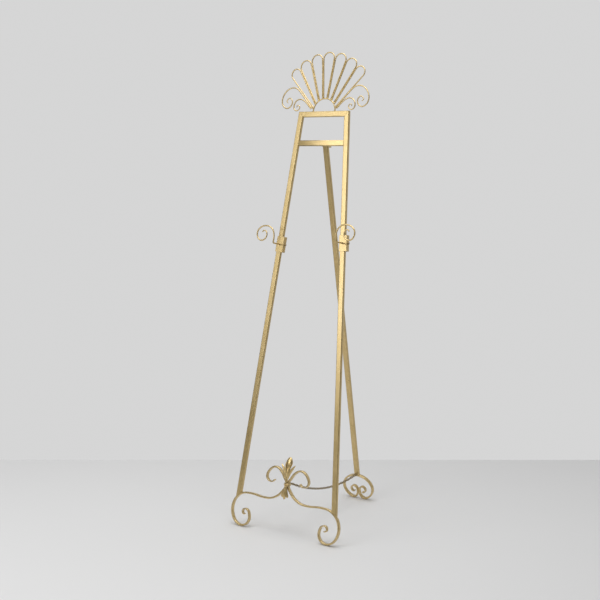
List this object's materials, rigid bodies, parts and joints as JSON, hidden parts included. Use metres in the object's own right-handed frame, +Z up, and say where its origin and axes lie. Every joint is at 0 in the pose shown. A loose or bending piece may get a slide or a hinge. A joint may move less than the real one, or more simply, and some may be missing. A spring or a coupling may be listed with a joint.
{
  "type": "display easel",
  "caption": "Free-standing scrollwork display easel: leaning A-frame with fan crest, hinged rear leg on a chain, and two sliding picture hooks.",
  "frame": {"origin": "on the floor at the middle of the footprint, in the easel's middle plane", "axes": "+Z up, -Y the front where the picture stands, +X to the right of someone facing the front"},
  "size_m": [0.4598, 0.5312, 1.6811],
  "materials": {
    "gold_paint": "satin antique gold",
    "brass_fitting": "dull brass plate"
  },
  "bodies": {
    "frame": {"top_rail": "gold_paint", "cross_bar": "gold_paint", "crest_arch": "gold_paint", "crest_petal_1": "gold_paint", "crest_petal_2": "gold_paint", "crest_petal_3": "gold_paint", "crest_petal_4": "gold_paint", "crest_petal_5": "gold_paint", "crest_petal_6": "gold_paint", "crest_petal_7": "gold_paint", "left_leg": "gold_paint", "left_foot_bar": "gold_paint", "left_big_crest_scroll": "gold_paint", "left_small_crest_scroll": "gold_paint", "right_leg": "gold_paint", "right_foot_bar": "gold_paint", "right_big_crest_scroll": "gold_paint", "right_small_crest_scroll": "gold_paint", "collar_band": "gold_paint", "cast_finial": "gold_paint", "cast_drop": "gold_paint", "front_chain_eye": "brass_fitting", "hinge_bracket": "gold_paint", "hinge_pin": "brass_fitting", "chain": "brass_fitting"},
    "rear_stand": {"rear_leg": "gold_paint", "left_rear_scroll": "gold_paint", "right_rear_scroll": "gold_paint", "rear_chain_eye": "brass_fitting"},
    "left_hook": {"left_sleeve": "gold_paint", "left_hook_wire": "gold_paint"},
    "left_screw": {"left_clamp_screw": "brass_fitting"},
    "right_hook": {"right_sleeve": "gold_paint", "right_hook_wire": "gold_paint"},
    "right_screw": {"right_clamp_screw": "brass_fitting"}
  },
  "joints": [
    {"name": "leg_fold", "type": "hinge", "parent": "frame", "child": "rear_stand", "pos_m": [0, 0.01056, 1.35869], "axis": [1, 0, 0], "range_deg": [-20.5, 0], "deforming": ["chain"]},
    {"name": "left_hook_slide", "type": "slide", "parent": "frame", "child": "left_hook", "axis": [0.0779, 0.1748, 0.9815], "range_m": [-0.84, 0.31]},
    {"name": "left_screw_turn", "type": "hinge", "parent": "left_hook", "child": "left_screw", "pos_m": [-0.13228, -0.08119, 1.00328], "axis": [0.997, -0.0137, -0.0767], "range_deg": [0, 720]},
    {"name": "right_hook_slide", "type": "slide", "parent": "frame", "child": "right_hook", "axis": [-0.0779, 0.1748, 0.9815], "range_m": [-0.855, 0.295]},
    {"name": "right_screw_turn", "type": "hinge", "parent": "right_hook", "child": "right_screw", "pos_m": [0.1311, -0.07856, 1.01804], "axis": [0.997, 0.0137, 0.0767], "range_deg": [0, 720]}
  ]
}
